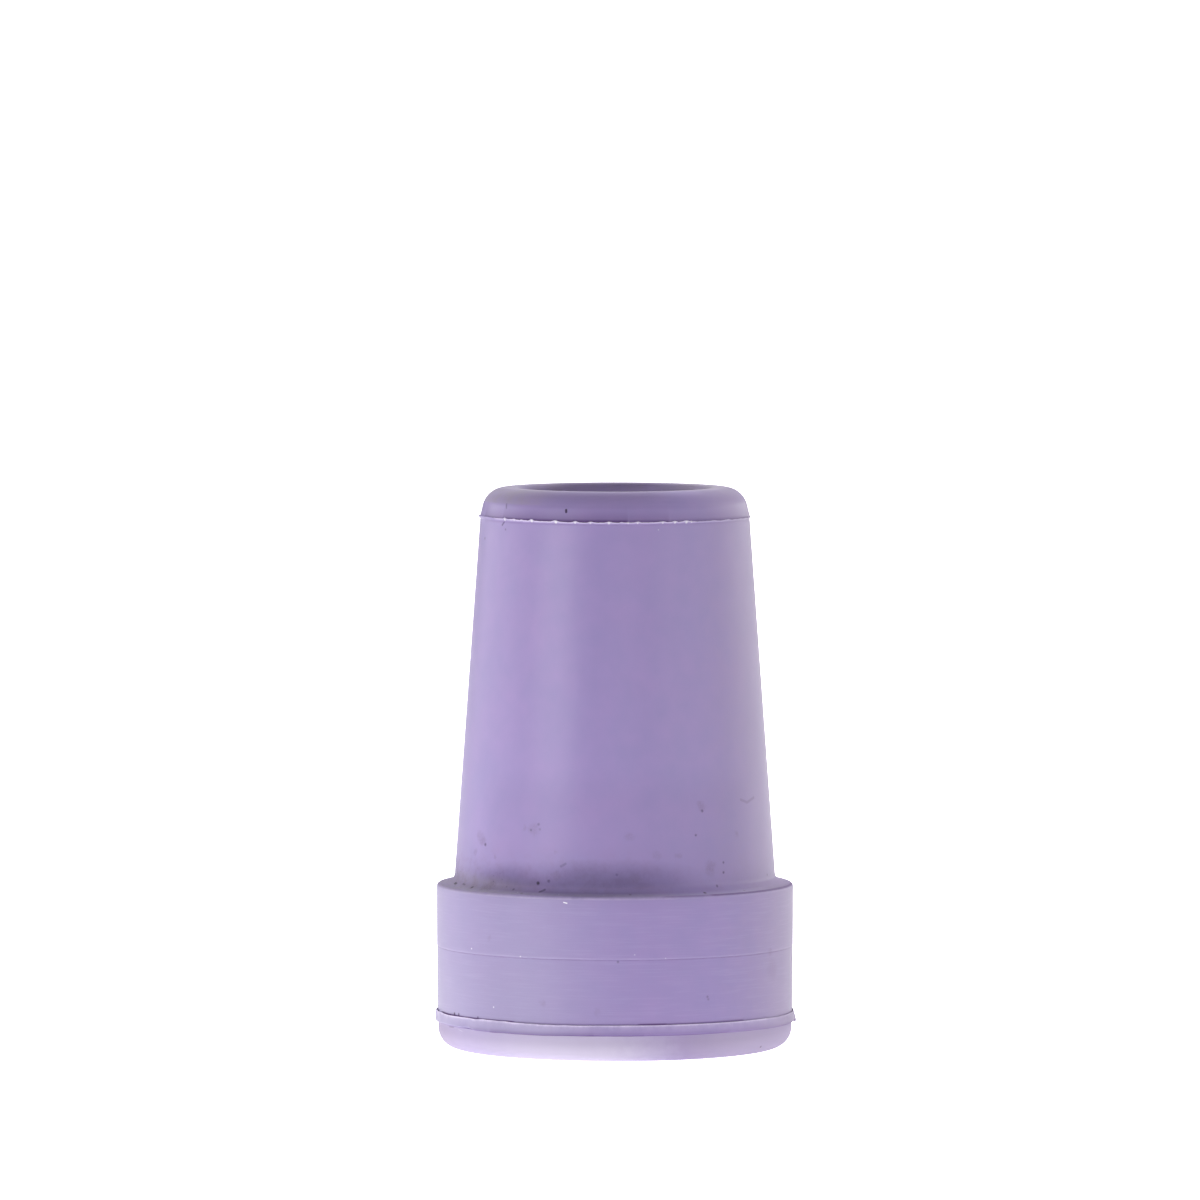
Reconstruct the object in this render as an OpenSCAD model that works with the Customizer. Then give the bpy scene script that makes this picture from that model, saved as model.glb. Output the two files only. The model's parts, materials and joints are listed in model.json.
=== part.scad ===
// Moulded rubber tip for a round cane, crutch or walker leg.
// One solid of revolution, standing on its sole with +Z up and the origin at the sole's centre.

/* [Overall] */
// Height from the sole to the top of the lip
tip_h = 57; // [48:0.5:75]

/* [Shaft bore] */
// Diameter of the blind bore, the size of the shaft that it grips
bore_d = 19; // [12:0.1:21]
// Depth of the bore below the top of the lip
bore_depth = 42; // [25:0.5:46]
// Chamfer at the mouth that leads the shaft in
lead_in = 0.5; // [0.2:0.1:1]
// Radius of the corner between the bore's wall and its floor
floor_round = 0.8; // [0.3:0.1:2]

/* [Base ring] */
// Diameter of the base ring at its ledge
ring_d = 36.32; // [34:0.02:44]
// Height of the ledge above the sole
ring_h = 16.75; // [13:0.25:22]
// Draft of the ring's side, in degrees
ring_draft = 0.3; // [0:0.1:1.5]
// Radius along the ledge's outer edge
ledge_round = 0.4; // [0.2:0.1:1.5]
// Height of the witness line round the ring above the sole
witness_h = 10.4; // [7:0.1:11]
// How far the ring steps in below the witness line
witness_step = 0.03; // [0.01:0.01:0.2]

/* [Foot] */
// Radius of the foot's edge, from the sole up to its straight side
foot_round = 2.4; // [1.5:0.1:3.5]
// Height of the foot's straight side, from its rounded edge up to the lower parting line
foot_side = 0.3; // [0.1:0.05:1]
// How far the foot's side stands in from the ring's side
foot_inset = 0.05; // [0.02:0.01:0.3]

/* [Body] */
// Diameter of the tapered body at the height of the ledge
body_low_d = 32.72; // [29:0.02:33]
// Diameter of the tapered body at the upper parting line
body_high_d = 27.38; // [24:0.02:28]
// Radius of the cove between the ledge and the body
cove_r = 1.1; // [0.4:0.1:1.1]

/* [Lip] */
// Height of the lip, from the upper parting line to the top
lip_h = 3.05; // [2.6:0.05:5]
// Diameter of the lip at the upper parting line
lip_low_d = 27.48; // [24:0.02:28.4]
// Lean of the lip's side, in degrees
lip_draft = 13.2; // [5:0.1:20]
// Radius between the lip's side and its flat top
lip_round = 2.3; // [1:0.1:2.5]

/* [Moulding flash] */
// Height of the folded flash above the lower parting line
skirt_h = 1.1; // [1:0.05:3]
// How far the flash stands out from the ring's side at its fold
skirt_out = 0.25; // [0.15:0.01:0.6]
// Height of the fold above the lower parting line
skirt_fold_h = 0.15; // [0.1:0.05:0.5]
// Thickness of the flash at its free edge
skirt_edge = 0.07; // [0.04:0.01:0.2]
// Gap between the ring's side and the free edge of the flash
skirt_gap = 0.07; // [0.03:0.01:0.2]
// Height of the flash's root, where the gap closes
skirt_root_h = 0.6; // [0.6:0.05:0.95]
// Depth of the upper flash's root below the upper parting line
bead_root_h = 0.08; // [0.04:0.01:0.2]
// Height of the upper flash's free edge above the upper parting line
bead_h = 0.1; // [0.05:0.01:0.3]
// Thickness of the upper flash
bead_edge = 0.06; // [0.04:0.01:0.14]
// Gap at the foot of the upper flash's free edge
bead_gap = 0.03; // [0.01:0.01:0.1]

/* [Sole tread] */
// Diameter of the shallow hollow at the centre of the sole
hollow_d = 8; // [4:0.5:10]
// Depth of the hollow
hollow_depth = 1.2; // [0.5:0.1:2]
// Radius of the middle of the innermost tread groove
tread_r = 7.5; // [6.5:0.1:9]
// Distance from one groove to the next
tread_pitch = 3; // [2.4:0.1:5]
// Width of a groove at the sole
tread_w = 1.4; // [0.8:0.1:1.8]
// Width of a groove at its bottom
tread_floor_w = 0.8; // [0.3:0.1:0.8]
// Depth of a groove
tread_depth = 1; // [0.5:0.1:2]
// Narrowest land between a groove and the foot's rounded edge
edge_land = 1; // [0.5:0.1:3]

/* [Hidden] */
rubber_colour = "#A898C8";
curve_fn = 180;
// How far one outline reaches into another that it joins, and a cut past the surface that it opens
sink = 1;
// How far an arc runs past the leaning side that it blends into, so that the two meet in one clear point
blend = 0.001;

bore_r = bore_d / 2;
floor_z = tip_h - bore_depth;
lip_z = tip_h - lip_h;
parting_z = foot_round + foot_side;

body_low_r = body_low_d / 2;
body_high_r = body_high_d / 2;
body_lean = atan((body_low_r - body_high_r) / (lip_z - ring_h));

lip_low_r = lip_low_d / 2;

ring_r = ring_d / 2;
ring_low_r = ring_r - (ring_h - parting_z) * tan(ring_draft) - witness_step;
foot_r = ring_low_r - foot_inset;
sole_r = foot_r - foot_round;
last_tread_r = sole_r - edge_land - tread_w / 2;

// Radius of the ring's side above the witness line at a height above the sole
function ring_side_r(z) = ring_r - (ring_h - z) * tan(ring_draft);

// Radius of the ring's side below the witness line
function ring_foot_r(z) = ring_side_r(z) - witness_step;

// Radius of the body's tapered side
function body_side_r(z) = body_low_r - (z - ring_h) * tan(body_lean);

// Radius of the lip's leaning side
function lip_side_r(z) = lip_low_r - (z - lip_z) * tan(lip_draft);

// Foot, with its edge rounded from the flat sole up to its straight side
module foot_outline() {
    polygon([[0, 0], [sole_r, 0], [foot_r, foot_round], [foot_r, parting_z], [0, parting_z]]);
    translate([sole_r, foot_round])
        circle(r = foot_round, $fn = curve_fn);
}

// Ring, drafted, with the small step of its witness line and a rounded edge to the ledge
module ring_outline() {
    round_z = ring_h - ledge_round;
    round_r = ring_side_r(round_z) - ledge_round / cos(ring_draft) + blend;
    side_z = round_z - ledge_round * sin(ring_draft);
    polygon([
        [0, parting_z],
        [ring_low_r, parting_z],
        [ring_foot_r(witness_h), witness_h],
        [ring_side_r(witness_h), witness_h],
        [ring_side_r(side_z), side_z],
        [round_r, ring_h],
        [0, ring_h]
    ]);
    translate([round_r, round_z])
        circle(r = ledge_round, $fn = curve_fn);
}

// Body, a plain taper from the ledge up to the upper parting line
module body_outline() {
    polygon([
        [0, ring_h - sink],
        [body_low_r, ring_h - sink],
        [body_low_r, ring_h],
        [body_high_r, lip_z],
        [0, lip_z]
    ]);
}

// Cove that blends the body into the ledge
module cove_outline() {
    mid_z = ring_h + cove_r;
    mid_r = body_side_r(mid_z) + cove_r / cos(body_lean) - blend;
    touch_z = mid_z - cove_r * sin(body_lean);
    touch_r = body_side_r(touch_z);
    difference() {
        polygon([
            [touch_r - sink, ring_h - sink],
            [mid_r, ring_h - sink],
            [mid_r, mid_z],
            [touch_r, touch_z],
            [touch_r - sink, touch_z]
        ]);
        translate([mid_r, mid_z])
            circle(r = cove_r, $fn = curve_fn);
    }
}

// Lip, leaning in above the upper parting line and rounded over to its flat top
module lip_outline() {
    round_z = tip_h - lip_round;
    round_r = lip_side_r(round_z) - lip_round / cos(lip_draft) + blend;
    side_z = round_z + lip_round * sin(lip_draft);
    polygon([
        [0, lip_z - sink],
        [body_high_r - sink, lip_z - sink],
        [body_high_r - sink, lip_z],
        [lip_low_r, lip_z],
        [lip_side_r(side_z), side_z],
        [round_r, tip_h],
        [0, tip_h]
    ]);
    translate([round_r, round_z])
        circle(r = lip_round, $fn = curve_fn);
}

// Thin flash of the lower parting line, folded up along the ring with a free upper edge
module skirt_outline() {
    edge_z = parting_z + skirt_h;
    edge_r = ring_foot_r(edge_z) + skirt_gap;
    root_z = parting_z + skirt_root_h;
    polygon([
        [ring_low_r - sink, parting_z],
        [ring_low_r, parting_z],
        [ring_low_r + skirt_out, parting_z + skirt_fold_h],
        [edge_r + skirt_edge, edge_z],
        [edge_r, edge_z],
        [ring_foot_r(root_z), root_z],
        [ring_low_r - sink, root_z]
    ]);
}

// Thin flash of the upper parting line, turned up along the lip with a free upper edge
module bead_outline() {
    root_z = lip_z - bead_root_h;
    edge_z = lip_z + bead_h;
    inner_r = max(body_high_r, lip_low_r);
    edge_r = inner_r + bead_gap;
    polygon([
        [body_high_r - sink, root_z],
        [body_side_r(root_z), root_z],
        [edge_r + bead_edge, lip_z],
        [edge_r + bead_edge, edge_z],
        [edge_r, edge_z],
        [inner_r, lip_z],
        [body_high_r - sink, lip_z]
    ]);
}

// Blind bore, with its chamfered mouth and the rounded corner of its floor
module bore_outline() {
    polygon([
        [0, floor_z],
        [bore_r - floor_round, floor_z],
        [bore_r, floor_z + floor_round],
        [bore_r, tip_h - lead_in],
        [bore_r + lead_in + sink, tip_h + sink],
        [0, tip_h + sink]
    ]);
    translate([bore_r - floor_round, floor_z + floor_round])
        circle(r = floor_round, $fn = curve_fn);
}

// Shallow hollow at the middle of the sole, part of a large sphere
module hollow_outline() {
    hollow_r = hollow_d / 2;
    sphere_r = (hollow_r * hollow_r + hollow_depth * hollow_depth) / (2 * hollow_depth);
    translate([0, hollow_depth - sphere_r])
        circle(r = sphere_r, $fn = curve_fn);
}

// Tapered grooves round the hollow, as many as the flat of the sole has room for
module tread_outline() {
    widen = (tread_w - tread_floor_w) / 2 / tread_depth;
    mouth = tread_w / 2 + widen * sink;
    for (r = [tread_r : tread_pitch : last_tread_r])
        translate([r, 0])
            polygon([
                [-mouth, -sink],
                [mouth, -sink],
                [tread_floor_w / 2, tread_depth],
                [-tread_floor_w / 2, tread_depth]
            ]);
}

// The whole section, turned about the shaft's axis
module cane_tip() {
    color(rubber_colour)
        rotate_extrude($fn = curve_fn)
            difference() {
                union() {
                    foot_outline();
                    ring_outline();
                    body_outline();
                    cove_outline();
                    lip_outline();
                    skirt_outline();
                    bead_outline();
                }
                union() {
                    bore_outline();
                    hollow_outline();
                    tread_outline();
                }
            }
}

cane_tip();
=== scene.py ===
"""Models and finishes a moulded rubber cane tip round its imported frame.

The tip stands on its sole at the origin, with +Z up the bore. The side that the camera sees is -Y,
and angles round the tip are counted from there, positive towards +X.
"""

import json
import math

import bmesh
import bpy
from bpy.props import FloatProperty, FloatVectorProperty, IntProperty, PointerProperty
from bpy.types import Operator, Panel, PropertyGroup
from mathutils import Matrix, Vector


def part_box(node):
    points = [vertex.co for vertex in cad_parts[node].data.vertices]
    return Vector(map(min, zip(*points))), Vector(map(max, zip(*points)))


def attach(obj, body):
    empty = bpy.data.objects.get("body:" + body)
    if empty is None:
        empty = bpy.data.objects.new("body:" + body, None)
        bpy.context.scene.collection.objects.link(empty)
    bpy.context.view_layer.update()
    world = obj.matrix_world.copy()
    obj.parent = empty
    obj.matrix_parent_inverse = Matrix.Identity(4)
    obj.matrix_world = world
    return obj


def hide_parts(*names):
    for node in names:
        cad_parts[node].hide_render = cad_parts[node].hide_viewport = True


bl_info = {
    "name": "Cane tip",
    "version": (1, 0, 0),
    "blender": (4, 5, 0),
    "location": "3D View > Sidebar > Cane tip",
    "description": "Moulds a rubber cane tip with its flash, wear and soil, and sets a plain studio for it",
    "category": "Mesh",
}

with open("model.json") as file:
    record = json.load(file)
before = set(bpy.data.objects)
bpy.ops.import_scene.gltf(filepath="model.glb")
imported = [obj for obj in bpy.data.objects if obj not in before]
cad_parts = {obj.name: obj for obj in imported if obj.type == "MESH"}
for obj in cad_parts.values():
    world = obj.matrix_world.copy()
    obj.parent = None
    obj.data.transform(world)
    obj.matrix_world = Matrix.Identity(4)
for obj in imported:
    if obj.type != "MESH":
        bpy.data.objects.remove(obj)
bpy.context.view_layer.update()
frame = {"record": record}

MM = 0.001
NODE = "cane_tip"
FRAME_LOW, FRAME_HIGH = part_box(NODE)
BORE = next(mount for mount in frame["record"]["mounts"] if mount["name"] == "shaft_bore")
BORE_WALL_TOP = BORE["pos_m"][2]
BORE_WALL_FOOT = BORE_WALL_TOP - BORE["dims"]["length_mm"] * MM


def distance(name, description, default):
    """A length that the sidebar shows in the scene's units."""
    return FloatProperty(
        name=name, description=description, default=default, unit="LENGTH", subtype="DISTANCE", precision=5
    )


def share(name, description, default):
    """A number from 0 to 1."""
    return FloatProperty(
        name=name, description=description, default=default, min=0.0, max=1.0, subtype="FACTOR"
    )


def amount(name, description, default):
    """A plain number, such as a light's strength."""
    return FloatProperty(name=name, description=description, default=default, min=0.0, precision=3)


def tint(name, description, default):
    """A linear colour."""
    return FloatVectorProperty(
        name=name, description=description, default=default, size=3, min=0.0, max=1.0, subtype="COLOR"
    )


class TipSizes(PropertyGroup):
    """Sizes of the moulding."""

    height: distance("Height", "From the sole to the top of the lip", FRAME_HIGH.z - FRAME_LOW.z)
    bore_radius: distance("Bore radius", "Half the shaft's diameter", BORE["dims"]["r_mm"] * MM)
    lead_in: distance("Lead-in", "Radius of the bore's mouth", 0.5 * MM)
    floor_round: distance("Floor round", "Radius in the corner of the bore's floor", 0.8 * MM)
    foot_round: distance("Foot round", "Radius of the foot's edge", 2.0 * MM)
    foot_radius: distance("Foot radius", "Radius of the foot's straight side", 18.0 * MM)
    parting_height: distance("Parting height", "Height of the lower parting line above the sole", 2.7 * MM)
    ring_radius: distance("Ring radius", "Radius of the base ring at its ledge", 18.16 * MM)
    ring_height: distance("Ring height", "Height of the ledge above the sole", 16.75 * MM)
    ring_draft: FloatProperty(
        name="Ring draft", description="Draft of the ring's side", default=math.radians(0.3), subtype="ANGLE"
    )
    ledge_round: distance("Ledge round", "Radius along the ledge's outer edge", 0.4 * MM)
    witness_height: distance("Witness height", "Height of the witness line round the ring", 10.4 * MM)
    witness_step: distance("Witness step", "How far the ring steps in below the witness line", 0.03 * MM)
    cove_radius: distance("Cove radius", "Radius between the ledge and the body", 1.1 * MM)
    body_low_radius: distance("Body radius, low", "Radius of the body at the ledge's height", 16.36 * MM)
    body_high_radius: distance("Body radius, high", "Radius at the upper parting line", 13.69 * MM)
    lip_height: distance("Lip height", "From the upper parting line to the top", 3.05 * MM)
    lip_radius: distance("Lip radius", "Radius of the lip at the upper parting line", 13.74 * MM)
    lip_lean: FloatProperty(
        name="Lip lean", description="Lean of the lip's side", default=math.radians(13.2), subtype="ANGLE"
    )
    lip_round: distance("Lip round", "Radius between the lip's side and its flat top", 2.3 * MM)
    hollow_radius: distance("Hollow radius", "Radius of the hollow in the middle of the sole", 4.0 * MM)
    hollow_depth: distance("Hollow depth", "Depth of the hollow", 1.2 * MM)
    tread_radius: distance("Tread radius", "Radius of the innermost groove", 7.5 * MM)
    tread_pitch: distance("Tread pitch", "Distance from groove to groove", 3.0 * MM)
    tread_count: IntProperty(name="Tread count", description="Number of grooves", default=3, min=1, max=4)
    tread_width: distance("Tread width", "Width of a groove at the sole", 1.4 * MM)
    tread_floor: distance("Tread floor", "Width of a groove at its bottom", 0.8 * MM)
    tread_depth: distance("Tread depth", "Depth of a groove", 1.0 * MM)
    slices: IntProperty(name="Slices", description="Steps that the section is spun in", default=640, min=64)


class FlashSizes(PropertyGroup):
    """Sizes of the thin rubber that squeezed out between the halves of the mould."""

    fold_reach: distance("Fold reach", "How far the lower flash stands out at its fold", 0.31 * MM)
    fold_rise: distance("Fold rise", "Height of the fold above the lower parting line", 0.17 * MM)
    fold_round: distance("Fold round", "Radius of the fold", 0.11 * MM)
    skirt_height: distance("Skirt height", "Height of the folded flash above the parting line", 1.1 * MM)
    skirt_edge: distance("Skirt edge", "Thickness of the flash at its free edge", 0.07 * MM)
    skirt_gap: distance("Skirt gap", "Gap between the ring and the free edge", 0.07 * MM)
    skirt_root: distance("Skirt root", "Height above the parting line where the gap closes", 0.5 * MM)
    bead_height: distance("Bead height", "Height of the upper flash above its root", 0.13 * MM)
    bead_reach: distance("Bead reach", "How far the upper flash stands out", 0.1 * MM)
    bead_edge: distance("Bead edge", "Thickness of the upper flash at its edge", 0.06 * MM)
    bead_gap: distance("Bead gap", "Gap between the lip and the upper flash", 0.05 * MM)
    bead_rag: distance("Bead rag", "How uneven the upper flash's edge is", 0.08 * MM)
    skirt_sway: distance("Skirt sway", "How uneven the folded flash is", 0.05 * MM)


class RubberFinish(PropertyGroup):
    """Colours and surface of the rubber, and the colours of its painted light and shade."""

    rubber: tint("Rubber", "Colour of the clean rubber", (0.376, 0.288, 0.588))
    # pale: the colour of the thin torn upper flash, also used for painted highlights on the folded flash's edge,
    # the witness step, the ledge's edge and the cove, and for the ring's fine lines
    pale: tint("Thin rubber", "Colour of the rubber where it is torn and thin", (0.80, 0.70, 0.95))
    # a greyer colour, partly dust and partly a painted sheen, on the right side and on the foot's sides
    sheened: tint("Faded rubber", "Colour of the rubber where it is dusty and faded", (0.39, 0.32, 0.46))
    # painted light: a lighter, bluer colour that stands for the light on the ring's left side
    painted_left_light: tint("Bluish rubber", "Colour of the ring's left side", (0.40, 0.365, 0.54))
    # a chalky pale colour on the foot, partly from wear and partly painted light from the floor below
    bloom_and_floor_light: tint("Bloom", "Colour of the chalky bloom on the worn foot", (0.80, 0.755, 0.85))
    # painted shade: the dark lilac painted into crevices and under edges, and on the ring's right edge
    deep: tint("Deep lilac", "Colour of the rubber inside a crevice", (0.11, 0.05, 0.18))
    # painted shade: a darker lilac for the top of the lip, which faces up where little light falls
    lip_top_shade: tint("Handled rubber", "Colour of the rubber that the shaft's dirt has darkened", (0.19, 0.13, 0.31))
    # the dark band above the ledge, partly a stain and partly painted shade
    stain_and_shade: tint("Soaked rubber", "Colour of the dark stain above the ledge", (0.13, 0.10, 0.24))
    film: tint("Dust film", "Colour of the greyish film of dust", (0.33, 0.295, 0.32))
    # also the colour of the darker patches low on the body, which are partly painted shade
    smudge: tint("Smudge", "Colour of rubbed-in dirt", (0.17, 0.12, 0.20))
    grain: tint("Grains", "Colour of dark grains of dirt", (0.04, 0.025, 0.055))
    dust: tint("Dust", "Colour of white specks", (0.9, 0.88, 0.92))
    roughness: share("Roughness", "Roughness of the clean rubber", 0.36)
    soiled_roughness: share("Soiled roughness", "Roughness where the rubber is soiled", 0.8)
    mottle: share("Mottle", "How much the colour wanders", 0.2)
    sheen: share("Sheen", "Strength of the pale sheen of dust along the outlines", 0.2)
    grain_size: distance("Grain size", "Size of the fine grain of the surface", 0.12 * MM)
    line_pitch: distance("Line pitch", "Pitch of the fine turning lines on the ring", 0.16 * MM)


class StudioSizes(PropertyGroup):
    """Camera, floor and lights."""

    camera_distance: distance("Camera distance", "From the tip's axis to the camera, along the floor", 1.098)
    camera_height: distance("Camera height", "Height of the camera above the floor", 106.9 * MM)
    camera_side: distance("Camera side", "How far the camera stands to the left of the tip", 1.52 * MM)
    camera_pitch: FloatProperty(
        name="Camera pitch", description="How far the camera looks down", default=math.radians(3.2),
        subtype="ANGLE"
    )
    lens: FloatProperty(name="Lens", description="Focal length in millimetres", default=324.4, min=1.0)
    floor_size: distance("Floor size", "Side of the floor", 6.0)
    backdrop: amount("Backdrop", "Brightness of the floor and the white behind the tip for the camera", 1.5)
    floor_glow: amount("Floor glow", "Brightness of the lit white floor", 0.2)
    front_glow: amount("Front glow", "Added brightness of the floor at the front left of the tip", 1.0)
    front_size: distance("Front size", "Reach of the brighter floor at the front left", 0.1)
    front_away: distance("Front away", "How far from the tip's axis its middle lies", 0.05)
    room: amount("Room", "Brightness of the room round the lights", 0.01)
    key: amount("Key", "Power of the light at the front left, in watts", 4.85)
    left_fill: amount("Left fill", "Power of the light at the left, in watts", 0.55)
    left_rim: amount("Left rim", "Power of the light at the back left, in watts", 4.7)
    front_fill: amount("Front fill", "Power of the light at the front, in watts", 0.95)
    right_fill: amount("Right fill", "Power of the light at the front right, in watts", 4.15)
    right_side: amount("Right side", "Power of the light at the back right, in watts", 3.8)
    top_right: amount("Top right", "Power of the light above the back right, in watts", 8.8)
    top_back: amount("Top back", "Power of the light above the back, in watts", 7.5)


class Outline:
    """Half of the tip's section, from the middle of the sole out and up, over the lip and down the bore.

    Each point has a place and five strengths from 0 to 1: how dusty the rubber is there, how much painted shade
    it takes in a crevice or under an edge, how pale it is, where it is thin and where a highlight is painted, and
    how far the ragged edge and the uneven fold of the flash move it.
    """

    def __init__(self):
        self.points = []
        self.strengths = {"dusty": [], "deep": [], "pale": [], "rag": [], "sway": []}

    def to(self, radius, height, **strengths):
        self.points.append((radius, height))
        for name, values in self.strengths.items():
            values.append(strengths.get(name, 0.0))

    def arc(self, radius, height, size, start, end, steps, **strengths):
        """Adds points on an arc about (radius, height), with angles in degrees and both ends included."""
        for step in range(steps + 1):
            turn = math.radians(start + (end - start) * step / max(steps, 1))
            self.to(radius + size * math.cos(turn), height + size * math.sin(turn), **strengths)

    def line(self, radius, height, steps, **strengths):
        """Adds points on a straight line from the last point."""
        from_radius, from_height = self.points[-1]
        for step in range(1, steps + 1):
            part = step / steps
            self.to(from_radius + (radius - from_radius) * part, from_height + (height - from_height) * part,
                    **strengths)


def draw_sole(outline, tip):
    """The hollow in the middle of the sole and the tapered tread grooves round it."""
    sphere = (tip.hollow_radius ** 2 + tip.hollow_depth ** 2) / (2 * tip.hollow_depth)
    edge = math.degrees(math.asin((sphere - tip.hollow_depth) / sphere))
    outline.arc(0.0, tip.hollow_depth - sphere, sphere, 90, edge, 7, dusty=0.6)
    corner = 0.12 * MM
    for count in range(tip.tread_count):
        middle = tip.tread_radius + count * tip.tread_pitch
        mouth = tip.tread_width / 2
        floor = tip.tread_floor / 2
        outline.to(middle - mouth - corner, 0.0, dusty=0.3)
        outline.to(middle - mouth, corner, dusty=0.5)
        # the grooves' bottoms take dust and painted shade
        outline.to(middle - floor, tip.tread_depth - corner, dusty=0.9, deep=0.4)
        outline.to(middle - floor + corner, tip.tread_depth, dusty=1.0, deep=0.5)
        outline.to(middle + floor - corner, tip.tread_depth, dusty=1.0, deep=0.5)
        outline.to(middle + floor, tip.tread_depth - corner, dusty=0.9, deep=0.4)
        outline.to(middle + mouth, corner, dusty=0.5)
        outline.to(middle + mouth + corner, 0.0, dusty=0.3)


def ring_side(tip, height):
    """Radius of the ring's drafted side, with its step in below the witness line."""
    step = tip.witness_step if height < tip.witness_height else 0.0
    return tip.ring_radius - (tip.ring_height - height) * math.tan(tip.ring_draft) - step


def body_slope(tip):
    """How much the body's radius shrinks for each unit of height."""
    return (tip.body_low_radius - tip.body_high_radius) / (tip.height - tip.lip_height - tip.ring_height)


def draw_foot(outline, tip, flash):
    """The rounded foot and the flash that is folded up round the ring."""
    outline.arc(tip.foot_radius - tip.foot_round, tip.foot_round, tip.foot_round, -90, 0, 14)
    parting = tip.parting_height
    side = ring_side(tip, parting)
    fold_radius = tip.foot_radius + flash.fold_reach
    fold_height = parting + flash.fold_rise
    edge_height = parting + flash.skirt_height
    edge_radius = ring_side(tip, edge_height) + flash.skirt_gap + flash.skirt_edge
    root_height = parting + flash.skirt_root
    rim = 0.1 * MM
    # painted shade in the crease under the fold, on the fold's underside and in the gap behind the free edge; the
    # folded flash is painted lighter upwards, to a painted highlight along its free edge
    outline.to(tip.foot_radius, parting - 0.04 * MM)
    outline.to(tip.foot_radius, parting - 0.01 * MM, deep=0.7)
    outline.to(side, parting + 0.02 * MM, deep=1.0)
    outline.to(side + 0.06 * MM, fold_height - flash.fold_round, deep=1.0, sway=0.3)
    middle = fold_radius - flash.fold_round
    for turn, dark in ((-80, 1.0), (-55, 0.85), (-30, 0.6), (0, 0.4)):
        outline.arc(middle, fold_height, flash.fold_round, turn, turn, 0, deep=dark, sway=1.0)
    for part, dark, thin in (
            (0.12, 0.3, 0.0), (0.3, 0.12, 0.06), (0.5, 0.0, 0.1), (0.7, 0.0, 0.2), (0.88, 0.0, 0.3)):
        outline.to(fold_radius - (fold_radius - edge_radius) * part ** 2,
                   fold_height + (edge_height - rim - fold_height) * part, deep=dark, pale=thin, sway=1.0)
    outline.to(edge_radius + 0.01 * MM, edge_height - rim, pale=0.7, sway=1.0)
    outline.to(edge_radius, edge_height - rim / 4, pale=1.0, sway=1.0)
    outline.to(edge_radius - flash.skirt_edge / 2, edge_height, pale=0.9, sway=1.0)
    outline.to(edge_radius - flash.skirt_edge, edge_height - rim / 4, deep=0.6, sway=1.0)
    outline.to(ring_side(tip, root_height) + 0.02 * MM, root_height + 0.02 * MM, deep=1.0)
    outline.to(ring_side(tip, root_height), root_height + 0.04 * MM, deep=1.0)
    outline.to(ring_side(tip, edge_height), edge_height, deep=1.0)
    outline.to(ring_side(tip, edge_height), edge_height + 0.08 * MM, deep=0.9)
    outline.to(ring_side(tip, edge_height), edge_height + 0.22 * MM)


def draw_ring(outline, tip):
    """The ring's side with its witness line, the rounded edge, the ledge and the cove."""
    witness = tip.witness_height
    ease = 0.04 * MM
    outline.line(ring_side(tip, witness - ease), witness - 0.16 * MM, 5)
    # painted shade under the witness step and a painted highlight above it
    outline.to(ring_side(tip, witness - ease), witness - 0.05 * MM, deep=0.35)
    outline.to(ring_side(tip, witness - ease), witness - 0.01 * MM, deep=0.35)
    outline.to(ring_side(tip, witness + ease), witness + 0.02 * MM, pale=0.15)
    outline.to(ring_side(tip, witness + ease), witness + 0.12 * MM, pale=0.15)
    outline.to(ring_side(tip, witness + ease), witness + 0.2 * MM)
    round_height = tip.ring_height - tip.ledge_round
    round_radius = ring_side(tip, round_height) - tip.ledge_round
    outline.line(round_radius + tip.ledge_round, round_height, 5)
    # a painted highlight on the ledge's rounded edge, with a dark line along its rim
    outline.arc(round_radius, round_height, tip.ledge_round, 15, 30, 1, pale=0.36)
    outline.arc(round_radius, round_height, tip.ledge_round, 42, 66, 2, pale=0.24, deep=0.8)
    outline.arc(round_radius, round_height, tip.ledge_round, 78, 90, 1, pale=0.2, deep=0.2)
    lean = math.atan(body_slope(tip))
    cove_height = tip.ring_height + tip.cove_radius
    cove_middle = tip.body_low_radius - tip.cove_radius * math.tan(lean) + tip.cove_radius / math.cos(lean)
    # painted light on the lower part of the cove
    outline.arc(cove_middle, cove_height, tip.cove_radius, -90, -117, 3, pale=0.18)
    outline.arc(cove_middle, cove_height, tip.cove_radius, -126, -180 - math.degrees(lean), 7)


def draw_body(outline, tip, flash):
    """The tapered body and the thin upstanding flash at its upper parting line."""
    parting = tip.height - tip.lip_height
    slope = body_slope(tip)
    root = parting - 0.04 * MM
    root_radius = tip.body_high_radius + (parting - root) * slope
    outline.line(root_radius + 0.25 * MM * slope, root - 0.25 * MM, 10)
    # painted shade just under the upper flash and in the crevice behind it; the flash itself is pale thin rubber
    outline.to(root_radius, root - 0.04 * MM, deep=0.2)
    top = root + flash.bead_height
    outer = root_radius + flash.bead_reach
    outline.to(root_radius + flash.bead_reach * 0.6, root + flash.bead_height * 0.3, pale=0.6, rag=0.3)
    outline.to(outer, root + flash.bead_height * 0.7, pale=0.9, rag=0.8)
    outline.to(outer, top, pale=1.0, rag=1.0)
    outline.to(outer - flash.bead_edge * 0.5, top + 0.02 * MM, pale=1.0, rag=1.0)
    outline.to(outer - flash.bead_edge, top - 0.02 * MM, deep=0.4, rag=1.0)
    crevice = outer - flash.bead_edge - flash.bead_gap
    outline.to(crevice, parting + 0.02 * MM, deep=1.0)


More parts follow.
